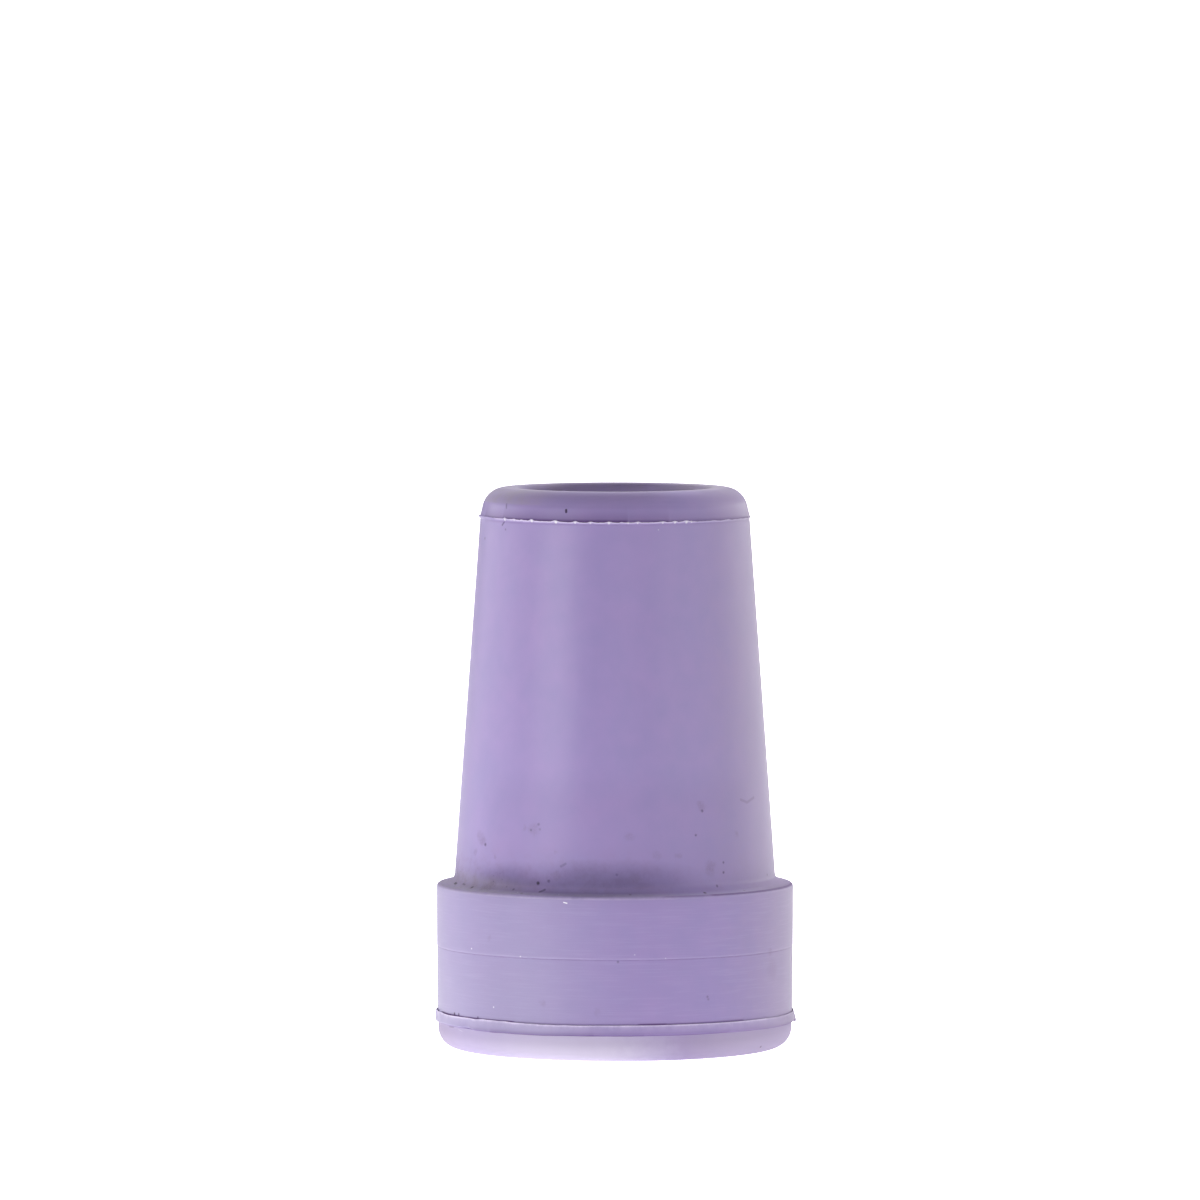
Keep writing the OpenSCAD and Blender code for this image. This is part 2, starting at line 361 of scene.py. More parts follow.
def draw_lip(outline, tip):
    """The leaning lip, rounded over to its flat top."""
    parting = tip.height - tip.lip_height
    round_height = tip.height - tip.lip_round
    side = tip.lip_radius - (round_height - parting) * math.tan(tip.lip_lean)
    round_radius = side - tip.lip_round / math.cos(tip.lip_lean)
    start = math.degrees(tip.lip_lean)
    # painted shade on the lip, darkest just above the upper flash and fading upwards
    for rise, dark in (
            (0.1 * MM, 0.95), (0.3 * MM, 0.7), (0.44 * MM, 0.42), (0.8 * MM, 0.28), (1.2 * MM, 0.14)):
        outline.to(tip.lip_radius - rise * math.tan(tip.lip_lean), parting + rise, deep=dark)
    outline.arc(round_radius, round_height, tip.lip_round, start + 3, start + 9, 1, deep=0.08)
    outline.arc(round_radius, round_height, tip.lip_round, start + 16, 90, 12)


def draw_bore(outline, tip):
    """The rounded mouth, the straight wall and the rounded floor of the blind bore."""
    outline.arc(tip.bore_radius + tip.lead_in, tip.height - tip.lead_in, tip.lead_in, 90, 180, 5, dusty=0.4)
    outline.line(tip.bore_radius, BORE_WALL_FOOT, 4, dusty=0.3)
    outline.arc(tip.bore_radius - tip.floor_round, BORE_WALL_FOOT, tip.floor_round, 0, -90, 5, dusty=0.8)
    outline.line(0.0, BORE_WALL_FOOT - tip.floor_round, 2, dusty=0.5)


def draw_section(tip, flash):
    """The whole half section."""
    outline = Outline()
    draw_sole(outline, tip)
    draw_foot(outline, tip, flash)
    draw_ring(outline, tip)
    draw_body(outline, tip, flash)
    draw_lip(outline, tip)
    draw_bore(outline, tip)
    return outline


def start_clean():
    """Leaves edit mode and deselects everything."""
    if bpy.context.mode != "OBJECT":
        bpy.ops.object.mode_set(mode="OBJECT")
    bpy.ops.object.select_all(action="DESELECT")


def trace_outline(outline, name):
    """Draws the half section in the XZ plane, from one vertex extruded from point to point."""
    start_clean()
    radius, height = outline.points[0]
    bpy.ops.mesh.primitive_plane_add(size=MM, location=(radius, 0.0, height))
    piece = bpy.context.object
    piece.name = piece.data.name = name
    bpy.ops.object.mode_set(mode="EDIT")
    bpy.ops.mesh.merge(type="CENTER")
    for next_radius, next_height in outline.points[1:]:
        step = (next_radius - radius, 0.0, next_height - height)
        bpy.ops.mesh.extrude_region_move(TRANSFORM_OT_translate={"value": step})
        radius, height = next_radius, next_height
    bpy.ops.object.mode_set(mode="OBJECT")
    bpy.ops.object.transform_apply(location=True, rotation=True, scale=True)
    return piece


def note_strengths(piece, outline):
    """Keeps the outline's strengths on the traced vertices, which the spin then carries round."""
    if len(piece.data.vertices) != len(outline.points):
        raise RuntimeError("the traced outline has lost or gained a vertex")
    for name in ("dusty", "deep", "pale"):
        attribute = piece.data.attributes.new(name, "FLOAT", "POINT")
        attribute.data.foreach_set("value", outline.strengths[name])
    for name in ("rag", "sway"):
        group = piece.vertex_groups.new(name=name)
        for index, strength in enumerate(outline.strengths[name]):
            if strength > 0.0:
                group.add([index], strength, "REPLACE")


def spin_outline(piece, slices):
    """Spins the section round the shaft's axis and closes it."""
    bpy.ops.object.mode_set(mode="EDIT")
    bpy.ops.mesh.select_all(action="SELECT")
    bpy.ops.mesh.spin(steps=slices, angle=math.tau, center=(0.0, 0.0, 0.0), axis=(0.0, 0.0, 1.0))
    bpy.ops.mesh.select_all(action="SELECT")
    bpy.ops.mesh.remove_doubles(threshold=0.001 * MM)
    bpy.ops.mesh.normals_make_consistent(inside=False)
    bpy.ops.object.mode_set(mode="OBJECT")


def ruffle(piece, group, size, reach, direction, depth=1):
    """Moves one vertex group by a cloudy pattern, as a displace modifier that is then applied."""
    texture = bpy.data.textures.new(f"{group} {direction}", type="CLOUDS")
    texture.noise_scale = size
    texture.noise_depth = depth
    modifier = piece.modifiers.new(f"{group} {direction}", "DISPLACE")
    modifier.texture = texture
    modifier.texture_coords = "LOCAL"
    modifier.direction = direction
    modifier.vertex_group = group
    modifier.mid_level = 0.5
    modifier.strength = reach
    bpy.ops.object.modifier_apply(modifier=modifier.name)


def around(angle, radius, height):
    """The point at an angle in degrees round the tip, at a radius and a height."""
    turn = math.radians(angle)
    return Vector((radius * math.sin(turn), -radius * math.cos(turn), height))


def pull_flash(piece, group, pulls):
    """Pulls spots of the flash by proportional editing, with the rest of the moulding hidden.

    A pull is an angle in degrees, a height, how far the spot moves outwards and upwards, and the reach,
    all but the angle in millimetres.
    """
    bpy.ops.object.mode_set(mode="EDIT")
    bpy.ops.mesh.select_mode(type="VERT")
    bpy.ops.mesh.select_all(action="DESELECT")
    piece.vertex_groups.active_index = piece.vertex_groups[group].index
    bpy.ops.object.vertex_group_select()
    bpy.ops.mesh.hide(unselected=True)
    for angle, height, outwards, upwards, reach in pulls:
        bpy.ops.mesh.select_all(action="DESELECT")
        aim = around(angle, 1.0, 0.0)
        edit = bmesh.from_edit_mesh(piece.data)
        shown = [vertex for vertex in edit.verts if not vertex.hide]
        nearest = min(shown, key=lambda vertex: (
            (vertex.co.xy - aim.xy * vertex.co.xy.length).length + abs(vertex.co.z - height * MM)))
        nearest.select_set(True)
        edit.select_flush_mode()
        move = around(angle, outwards * MM, upwards * MM)
        bpy.ops.transform.translate(
            value=move, use_proportional_edit=True, proportional_edit_falloff="SMOOTH",
            proportional_size=reach * MM, use_proportional_connected=False)
    bpy.ops.mesh.reveal(select=False)
    bpy.ops.object.mode_set(mode="OBJECT")


# Where the upper flash lies higher or lower, and lumps of torn rubber on it
BEAD_PULLS = [
    (-72.0, 54.02, 0.0, 0.16, 15.0),
    (-88.0, 54.02, 0.14, 0.04, 0.5),
    (-54.0, 54.02, 0.02, 0.15, 0.4),
    (-47.8, 54.02, 0.02, 0.10, 0.4),
    (-43.5, 54.02, 0.01, 0.07, 0.3),
    (-37.6, 54.02, 0.03, 0.16, 0.45),
    (-25.7, 54.02, 0.03, 0.14, 0.6),
    (-17.0, 54.02, 0.02, 0.12, 0.4),
    (-10.4, 54.02, 0.02, 0.09, 0.5),
    (-2.6, 54.02, 0.02, 0.08, 0.6),
    (3.0, 54.02, 0.01, 0.06, 0.4),
    (9.5, 54.02, 0.03, 0.09, 0.5),
    (20.4, 54.02, 0.02, 0.10, 0.6),
    (26.0, 54.02, 0.03, 0.12, 0.5),
    (31.0, 54.02, 0.03, 0.13, 0.8),
    (46.0, 54.02, 0.02, 0.05, 0.6),
    (56.0, 54.02, 0.02, 0.05, 0.6),
]

# Where the folded flash lies higher or lower, and where it curls, flares or lies flat
SKIRT_PULLS = [
    (70.0, 3.8, 0.0, -0.08, 14.0),
    (-60.0, 3.8, 0.0, 0.04, 10.0),
    (-84.0, 3.8, 0.18, 0.20, 0.9),
    (-76.0, 3.8, 0.08, 0.08, 1.4),
    (-66.0, 3.8, 0.05, -0.02, 2.0),
    (-55.0, 2.85, -0.14, 0.04, 1.6),
    (-50.0, 2.85, 0.0, -0.13, 1.6),
    (-45.0, 2.85, 0.0, -0.17, 1.6),
    (-40.0, 2.85, 0.0, -0.17, 1.6),
    (-35.0, 2.85, 0.0, -0.16, 1.6),
    (-30.0, 2.85, 0.0, -0.14, 1.6),
    (-25.0, 2.85, 0.0, -0.11, 1.6),
    (-19.0, 2.85, 0.0, -0.09, 1.8),
    (-12.0, 2.85, 0.0, -0.06, 2.0),
    (-46.0, 3.8, 0.0, 0.11, 2.0),
    (-39.0, 3.8, 0.0, 0.12, 2.4),
    (-31.0, 3.8, 0.0, 0.06, 2.4),
    (90.0, 2.80, 0.16, -0.22, 1.2),
    (97.0, 2.80, 0.08, -0.10, 1.6),
]


class NodeChain:
    """Short words for adding and joining a material's nodes."""

    def __init__(self, tree):
        self.tree = tree

    def add(self, kind, inputs=None, **settings):
        node = self.tree.nodes.new(kind)
        for name, value in settings.items():
            setattr(node, name, value)
        for name, value in (inputs or {}).items():
            if isinstance(value, bpy.types.NodeSocket):
                self.tree.links.new(value, node.inputs[name])
            else:
                node.inputs[name].default_value = value
        return node

    def math(self, operation, *values, clamp=False):
        node = self.add("ShaderNodeMath", dict(enumerate(values)), operation=operation, use_clamp=clamp)
        return node.outputs["Value"]

    def vector(self, operation, *values, output="Vector", **named):
        inputs = dict(enumerate(values))
        inputs.update(named)
        return self.add("ShaderNodeVectorMath", inputs, operation=operation).outputs[output]

    def ramp(self, value, low, high, to_low=0.0, to_high=1.0):
        """A smooth step from to_low at low to to_high at high."""
        inputs = {"Value": value, "From Min": low, "From Max": high, "To Min": to_low, "To Max": to_high}
        return self.add("ShaderNodeMapRange", inputs, interpolation_type="SMOOTHSTEP").outputs["Result"]

    def noise(self, place, size, detail=2.0, rough=0.5):
        """Cloudy noise from 0 to 1 with lumps of a size in the place's own units."""
        inputs = {"Vector": place, "Scale": 1.0 / size, "Detail": detail, "Roughness": rough}
        return self.add("ShaderNodeTexNoise", inputs, noise_dimensions="3D").outputs["Fac"]

    def mix(self, factor, first, second, blend="MIX"):
        node = self.add("ShaderNodeMix", data_type="RGBA", blend_type=blend, clamp_factor=True)
        for socket, value in ((node.inputs[0], factor), (node.inputs[6], first), (node.inputs[7], second)):
            if isinstance(value, bpy.types.NodeSocket):
                self.tree.links.new(value, socket)
            elif socket == node.inputs[0]:
                socket.default_value = value
            else:
                socket.default_value = (*value, 1.0)
        return node.outputs[2]

    def most(self, values):
        """The largest of several values at each place."""
        result = values[0]
        for value in values[1:]:
            result = self.math("MAXIMUM", result, value)
        return result


# Dark grains, smudges and white specks on the side that the camera sees: angle in degrees, then the height
# and the size in millimetres, and the strength
GRAINS = [
    (-54.7, 21.3, 0.26, 0.6), (-32.1, 23.1, 0.2, 0.35), (-29.0, 23.7, 0.22, 0.35), (-28.4, 23.2, 0.2, 0.3),
    (33.7, 25.0, 0.24, 0.5), (30.6, 22.6, 0.2, 0.5), (42.5, 19.7, 0.2, 0.5), (42.3, 18.7, 0.22, 0.55),
    (0.6, 18.8, 0.2, 0.35), (-72.3, 52.0, 0.22, 0.45), (-53.5, 53.1, 0.18, 0.35), (-28.4, 17.8, 0.28, 0.95),
    (-24.2, 18.05, 0.24, 0.55), (-38.0, 17.1, 0.22, 0.5), (-71.6, 16.8, 0.2, 0.7), (-59.2, 16.92, 0.3, 0.9),
    (-88.0, 16.72, 0.16, 0.5), (-85.5, 16.7, 0.14, 0.5), (-33.3, 16.8, 0.22, 0.6), (38.8, 17.4, 0.22, 0.5), (32.1, 16.85, 0.26, 0.95),
    (49.6, 16.8, 0.22, 0.4), (5.1, 16.87, 0.2, 0.5), (3.3, 16.75, 0.2, 0.5), (71.3, 17.9, 0.2, 0.4),
    (0.9, 10.2, 0.2, 0.45), (30.9, 6.45, 0.2, 0.35), (31.2, 6.2, 0.2, 0.3), (56.6, 0.83, 0.2, 0.6),
    (-64.0, 3.98, 0.3, 0.8), (-61.0, 4.02, 0.25, 0.7), (-50.0, 3.98, 0.22, 0.6),
]
SMUDGES = [
    (-56.6, 21.7, 0.9, 0.3), (-59.0, 22.1, 0.8, 0.2), (-61.4, 20.4, 0.7, 0.25), (-48.5, 20.2, 0.35, 0.3),
    (-31.0, 23.2, 0.9, 0.2), (-34.7, 23.3, 0.4, 0.2), (33.4, 25.5, 0.7, 0.25), (36.3, 19.2, 1.1, 0.3),
    (50.2, 22.4, 0.5, 0.2), (5.0, 22.6, 0.7, 0.2), (23.1, 20.6, 0.5, 0.2), (15.0, 20.6, 0.8, 0.15),
    (-22.2, 21.0, 0.4, 0.2), (-21.5, 18.6, 0.8, 0.35), (-49.0, 17.3, 1.1, 0.5), (-52.0, 17.0, 0.9, 0.5),
    (7.0, 18.3, 1.0, 0.35), (60.0, 10.4, 0.6, 0.2), (61.5, 8.5, 1.6, 0.12), (-23.8, 5.9, 0.5, 0.2),
    (-5.9, 5.1, 0.5, 0.15), (-44.5, 12.2, 0.4, 0.15),
]
WHITE_SPECKS = [
    (-54.0, 54.1, 0.2, 0.9), (-47.8, 54.08, 0.14, 0.6), (-43.5, 54.08, 0.1, 0.4), (-37.6, 54.1, 0.22, 0.9),
    (-25.7, 54.06, 0.24, 0.9), (-17.0, 54.05, 0.18, 0.8), (-10.4, 54.02, 0.16, 0.6), (-2.6, 54.02, 0.2, 0.7),
    (5.5, 54.02, 0.16, 0.6), (9.5, 54.02, 0.16, 0.7), (20.4, 54.02, 0.18, 0.6), (26.0, 54.03, 0.2, 0.8),
    (31.5, 54.03, 0.22, 0.8), (34.0, 54.03, 0.16, 0.7),
    (-53.0, 10.9, 0.12, 0.8), (-31.7, 10.5, 0.11, 0.7), (6.2, 10.9, 0.1, 0.4), (16.2, 10.5, 0.1, 0.4),
    (-42.6, 5.2, 0.12, 0.7), (18.5, 53.3, 0.1, 0.4),
    (-35.2, 16.85, 0.09, 0.45), (-28.9, 16.82, 0.08, 0.4), (-19.4, 16.85, 0.09, 0.45),
    (-11.8, 16.8, 0.08, 0.4), (-4.0, 16.84, 0.08, 0.35),
]

# Dark streaks and white scratches: the angle and the height of both ends, then the size and the strength
STREAKS = [
    (-21.5, 55.26, -21.4, 55.07, 0.17, 1.0), (-55.4, 55.65, -54.7, 55.25, 0.16, 0.4),
    (-56.1, 53.52, -54.8, 53.8, 0.15, 0.5), (-26.9, 17.0, -25.4, 17.2, 0.2, 0.55),
    (-76.2, 17.0, -73.8, 16.96, 0.22, 0.95), (-68.0, 17.1, -65.8, 17.05, 0.15, 0.5),
    (-19.6, 19.57, -18.0, 19.83, 0.18, 0.3), (53.8, 25.85, 57.9, 25.5, 0.2, 0.2),
    (57.9, 25.5, 63.2, 25.9, 0.2, 0.2), (-68.8, 2.58, -64.9, 2.62, 0.12, 0.35),
]
SCRATCHES = [
    (-16.5, 16.12, -15.45, 16.05, 0.085, 1.0), (-61.5, 2.48, -59.0, 2.36, 0.08, 0.45),
]

# Stretches where painted shade shows as a dark line in the folded flash's gap and fold and at the upper flash,
# where the ledge's rim shows a dark line, and where the upper flash is torn pale: from and to, in degrees, and
# how strong
GAP_SHADES = [(-76, -57, 1.0), (-58, -34, 0.95), (-36, 8, 0.3), (7, 17, 0.85), (16, 46, 0.5), (45, 58, 0.15)]
FOLD_SHADES = [(-80, -54, 0.2), (-54, -44, 0.55), (-44, -6, 0.88), (-8, 10, 0.65), (8, 40, 0.5), (38, 80, 0.35)]
RIM_SHADES = [(-90, -60, 0.15), (16, 34, 0.35), (32, 90, 0.75)]
BEAD_SHADES = [(-75, -56, 0.8), (-57, 6, 1.0), (5, 24, 0.75), (23, 80, 0.5)]
BEAD_TEARS = [(-62, -50, 0.6), (-51, 37, 1.0), (36, 57, 0.55), (56, 75, 0.3)]


def side_radius(tip, height):
    """Radius of the tip's outside at a height, for placing marks."""
    parting = tip.height - tip.lip_height
    if height < tip.foot_round:
        down = tip.foot_round - height
        return tip.foot_radius - tip.foot_round + math.sqrt(tip.foot_round ** 2 - down ** 2)
    if height < tip.ring_height - tip.ledge_round:
        return ring_side(tip, height)
    if height < parting:
        body = tip.body_low_radius - (height - tip.ring_height) * body_slope(tip)
        rise = height - tip.ring_height
        if rise < 0.0:
            return body
        if rise < tip.cove_radius:
            up = tip.cove_radius - rise
            return body + tip.cove_radius - math.sqrt(tip.cove_radius ** 2 - up ** 2)
        return body
    return tip.lip_radius - (height - parting) * math.tan(tip.lip_lean)


def on_side(tip, angle, height):
    """The point on the tip's outside at an angle in degrees and a height in millimetres, in millimetres."""
    return around(angle, side_radius(tip, height * MM) / MM, height)


def mark_pattern(chain, place, tip, marks):
    """The strength of a list of marks at each place."""
    spots = []
    for angle, height, size, strength in marks:
        away = chain.vector("DISTANCE", place, on_side(tip, angle, height), output="Value")
        spots.append(chain.ramp(away, size, size * 0.25, 0.0, strength))
    return chain.most(spots)


def streak_pattern(chain, place, tip, streaks):
    """The strength of a list of streaks, each a line between two points."""
    spots = []
    for from_angle, from_height, to_angle, to_height, size, strength in streaks:
        start = on_side(tip, from_angle, from_height)
        way = on_side(tip, to_angle, to_height) - start
        offset = chain.vector("SUBTRACT", place, start)
        part = chain.vector("DOT_PRODUCT", offset, way / way.length_squared, output="Value")
        part = chain.math("MINIMUM", chain.math("MAXIMUM", part, 0.0), 1.0)
        away = chain.vector("DISTANCE", offset, chain.vector("SCALE", way, Scale=part), output="Value")
        spots.append(chain.ramp(away, size, size * 0.35, 0.0, strength))
    return chain.most(spots)


def stretch_pattern(chain, angle, stretches, behind):
    """The strength of a list of stretches at each angle, and another strength on the side behind."""
    parts = [chain.math("MULTIPLY", chain.ramp(chain.math("ABSOLUTE", angle), 80, 100), behind)]
    soft = 1.5
    for start, end, strength in stretches:
        rise = chain.ramp(angle, start - soft, start + soft, 0.0, strength)
        parts.append(chain.math("MULTIPLY", rise, chain.ramp(angle, end + soft, end - soft)))
    return chain.most(parts)


class RubberPattern:
    """The places, angles and noises that the patterns of the rubber share, in millimetres and degrees.

    The side is the angle as far as 92 degrees, and falls back to 0 behind, so that patterns that differ
    from left to right meet there without a seam.
    """

    def __init__(self, chain):
        coordinates = chain.add("ShaderNodeTexCoord").outputs
        self.place = chain.vector("SCALE", coordinates["Object"], Scale=1.0 / MM)
        x, y, self.height = chain.add("ShaderNodeSeparateXYZ", {"Vector": self.place}).outputs
        self.upward = chain.add("ShaderNodeSeparateXYZ", {"Vector": coordinates["Normal"]}).outputs["Z"]
        turn = chain.math("ARCTAN2", x, chain.math("MULTIPLY", y, -1.0))
        self.angle = chain.math("MULTIPLY", turn, math.degrees(1.0))
        self.side = chain.math("MULTIPLY", self.angle, chain.ramp(
            chain.math("ABSOLUTE", self.angle), 178.0, 92.0))
        self.broad = chain.noise(self.place, 6.0, detail=3.0)
        self.patch = chain.noise(self.place, 1.1, detail=4.0, rough=0.65)
        self.fine = chain.noise(self.place, 0.16, detail=2.0)
        self.chain = chain

    def band(self, foot, full, until, top):
        """1 between two heights, full and until, falling to 0 at two others, foot and top."""
        rise = self.chain.ramp(self.height, foot, full)
        return self.chain.math("MULTIPLY", rise, self.chain.ramp(self.height, top, until))


def attribute(chain, name):
    """A strength that the outline's points carry."""
    return chain.add("ShaderNodeAttribute", attribute_name=name).outputs["Fac"]


def clean_rubber(chain, pattern, tip, finish):
    """The clean colour, wandering between a bluer and a pinker lilac, with painted sheen, light and shade at the
    sides, and a chalky bloom on the foot that is partly painted floor light.
    """
    middling = chain.noise(pattern.place, 2.2, detail=3.0)
    wander = chain.math("MULTIPLY_ADD", chain.math("ADD", pattern.broad, middling), 1.0, -1.0)
    hue = chain.math("MULTIPLY_ADD", wander, finish.mottle * 0.12, 0.5)
    value = chain.math("MULTIPLY_ADD", wander, finish.mottle * 0.3, 1.0)
    clean = chain.add("ShaderNodeHueSaturation", {
        "Hue": hue, "Value": value, "Color": (*finish.rubber, 1.0)}).outputs["Color"]
    foot_height = tip.parting_height / MM
    on_foot = chain.ramp(pattern.height, foot_height, foot_height - 0.02)
    on_ring = pattern.band(foot_height, foot_height + 0.02, 16.5, 16.6)
    ragged = chain.math("MULTIPLY_ADD", pattern.patch, 12.0, pattern.side)
    # greyer colour on the right side and the foot's sides: partly dust, partly a painted sheen from the light
    # there
    sheened = chain.most([
        chain.ramp(ragged, 34.0, 76.0, 0.0, 0.6),
        chain.math("MULTIPLY", on_foot, chain.ramp(ragged, 10.0, 40.0, 0.3, 0.65)),
        chain.math("MULTIPLY", on_foot, chain.ramp(ragged, -42.0, -74.0, 0.3, 0.8))])
    clean = chain.mix(sheened, clean, tuple(finish.sheened))
    # painted light: the ring's left side is painted lighter and bluer, more so towards its foot
    at_left = chain.math("MULTIPLY", chain.ramp(pattern.side, 12.0, -36.0), chain.ramp(
        pattern.height, 15.0, 5.0, 0.45, 0.6))
    clean = chain.mix(chain.math("MULTIPLY", on_ring, at_left), clean, tuple(finish.painted_left_light))
    # painted shade on the ring's right edge, stronger on the folded flash
    at_right = chain.math("MULTIPLY", chain.ramp(pattern.side, 60.0, 78.0), chain.ramp(
        pattern.height, 4.1, 3.8, 0.1, 0.24))
    clean = chain.mix(chain.math("MULTIPLY", on_ring, at_right), clean, tuple(finish.deep))
    # the foot is painted paler: partly a chalky bloom from wear, partly painted light from the floor, strongest
    # at the front left and towards the sole
    front = chain.math("MULTIPLY", chain.ramp(ragged, 40.0, 2.0), chain.ramp(ragged, -76.0, -10.0, 0.3, 1.0))
    front = chain.math("MULTIPLY", front, chain.ramp(pattern.height, 2.4, 0.7, 0.56, 0.72))
    worn_and_floor_lit = chain.most([front, chain.ramp(ragged, 26.0, 56.0, 0.13, 0.24)])
    return chain.mix(chain.math("MULTIPLY", worn_and_floor_lit, on_foot), clean, tuple(finish.bloom_and_floor_light))


def ring_line_pattern(chain, pattern, finish):
    """Fine lines round the ring, from the turned mould: lighter above 0 and darker below."""
    squeezed = chain.vector("MULTIPLY", pattern.place, (0.04, 0.04, 1.0))
    lines = chain.noise(squeezed, finish.line_pitch / MM, detail=2.0)
    on_ring = pattern.band(4.0, 4.4, 16.0, 16.5)
    return chain.math("MULTIPLY", chain.math("SUBTRACT", lines, 0.5), on_ring)


def dirt_pattern(chain, pattern, tip):
    """Strengths of the dust film, of the smudges together with a darkening low on the body that is partly smeared
    dirt and partly painted shade, and of the dark grains.
    """
    patchy = chain.ramp(pattern.patch, 0.2, 0.75, 0.5, 1.0)
    at_left = chain.ramp(pattern.side, -22.0, -55.0, 0.0, 0.55)
    on_ledge = pattern.band(16.4, 16.7, 17.4, 18.6)
    on_top = chain.ramp(pattern.height, 55.5, 55.8)
    film = chain.math("MULTIPLY", at_left, chain.math("ADD", on_ledge, on_top))
    film = chain.math("MULTIPLY", chain.most([film, attribute(chain, "dusty")]), patchy)
    # darker patches low on the body, above the ledge: partly smeared dirt, partly painted shade
    low = pattern.band(16.6, 17.0, 17.0, 23.0)
    low = chain.math("MULTIPLY", low, chain.ramp(pattern.side, 0.0, 26.0, 1.0, 0.3))
    rubbed_and_shaded = chain.math("MULTIPLY", low, chain.ramp(pattern.patch, 0.35, 0.8, 0.08, 0.35))
    wobble = chain.add("ShaderNodeTexNoise", {"Vector": pattern.place, "Scale": 1.6, "Detail": 2.0})
    shift = chain.vector("SUBTRACT", wobble.outputs["Color"], (0.5, 0.5, 0.5))
    warped = chain.vector("ADD", pattern.place, chain.vector("SCALE", shift, Scale=0.9))
    broken = chain.ramp(pattern.fine, 0.3, 0.6, 0.5, 1.0)
    smudges = chain.math("MULTIPLY", mark_pattern(chain, warped, tip, SMUDGES), broken)
    sparse = chain.add("ShaderNodeTexVoronoi", {"Vector": pattern.place, "Scale": 0.45, "Randomness": 1.0})
    out_of_sight = chain.ramp(chain.math("ABSOLUTE", pattern.angle), 85.0, 100.0)
    loose = chain.math("MULTIPLY", chain.ramp(sparse.outputs["Distance"], 0.08, 0.03), out_of_sight)
    loose = chain.math("MULTIPLY", loose, pattern.band(16.6, 16.8, 20.0, 27.0))
    dense = chain.add("ShaderNodeTexVoronoi", {"Vector": pattern.place, "Scale": 1.5, "Randomness": 1.0})
    gritty = chain.math("MULTIPLY", chain.ramp(dense.outputs["Distance"], 0.2, 0.08), chain.ramp(
        pattern.side, -30.0, -60.0, 0.1, 0.6))
    gritty = chain.math("MULTIPLY", gritty, pattern.band(16.4, 16.6, 17.4, 20.0))
    gritty = chain.math("MULTIPLY", gritty, chain.ramp(pattern.patch, 0.45, 0.6))
    loose = chain.most([loose, gritty])
    speckled = chain.ramp(pattern.fine, 0.25, 0.5, 0.7, 1.0)
    placed = chain.most([
        mark_pattern(chain, pattern.place, tip, GRAINS), streak_pattern(chain, pattern.place, tip, STREAKS)])
    placed = chain.math("MULTIPLY", placed, speckled)
    return film, chain.most([rubbed_and_shaded, smudges]), chain.most([placed, loose])


def stain_and_shade_patterns(chain, pattern):
    """Strengths of the dark band above the ledge, partly a stain and partly painted shade, and of the painted
    shade on the lip's top round the bore's mouth.
    """
    # the dark band just above the ledge: partly a stain, partly painted shade
    tilted = chain.math("ADD", pattern.height, chain.ramp(pattern.side, -14.0, -56.0, 0.0, 0.7))
    rise = chain.math("MULTIPLY", chain.ramp(pattern.height, 17.1, 17.9, 0.25, 1.0), chain.ramp(
        tilted, 21.2, 18.2))
    across = chain.math("MULTIPLY", chain.ramp(pattern.side, -72.0, -38.0, 0.2, 0.95), chain.ramp(
        pattern.side, 46.0, -2.0))
    from_clear = chain.math("ABSOLUTE", chain.math("ADD", pattern.side, 27.0))
    # painted highlight: the band is weaker where the key light's highlight runs down the body
    lighter = chain.math("MULTIPLY", chain.ramp(from_clear, 15.0, 1.0), chain.ramp(
        pattern.height, 17.5, 18.7, 0.1, 0.4))
    across = chain.math("MULTIPLY", across, chain.math("SUBTRACT", 1.0, lighter))
    uneven = chain.ramp(chain.math("ADD", pattern.broad, pattern.patch), 0.7, 1.3, 0.7, 0.84)
    stain = chain.math("MULTIPLY", chain.math("MULTIPLY", rise, across), uneven)
    shade = chain.math("MULTIPLY", pattern.band(17.2, 18.4, 25.5, 30.0), chain.ramp(
        pattern.side, -62.0, -46.0, 0.0, 0.12))
    shade = chain.math("MULTIPLY", shade, chain.ramp(pattern.side, 66.0, 46.0))
    stain_and_shade = chain.math("MAXIMUM", stain, shade)
    # painted shade on the front half of the lip's top, which faces up where little light falls
    by_the_mouth = chain.math("MULTIPLY", chain.ramp(pattern.side, -64.0, -34.0), chain.ramp(
        pattern.side, 36.0, 12.0))
    lip_top_shade = chain.math("MULTIPLY", by_the_mouth, chain.ramp(pattern.height, 56.1, 56.85, 0.0, 0.5))
    return stain_and_shade, lip_top_shade


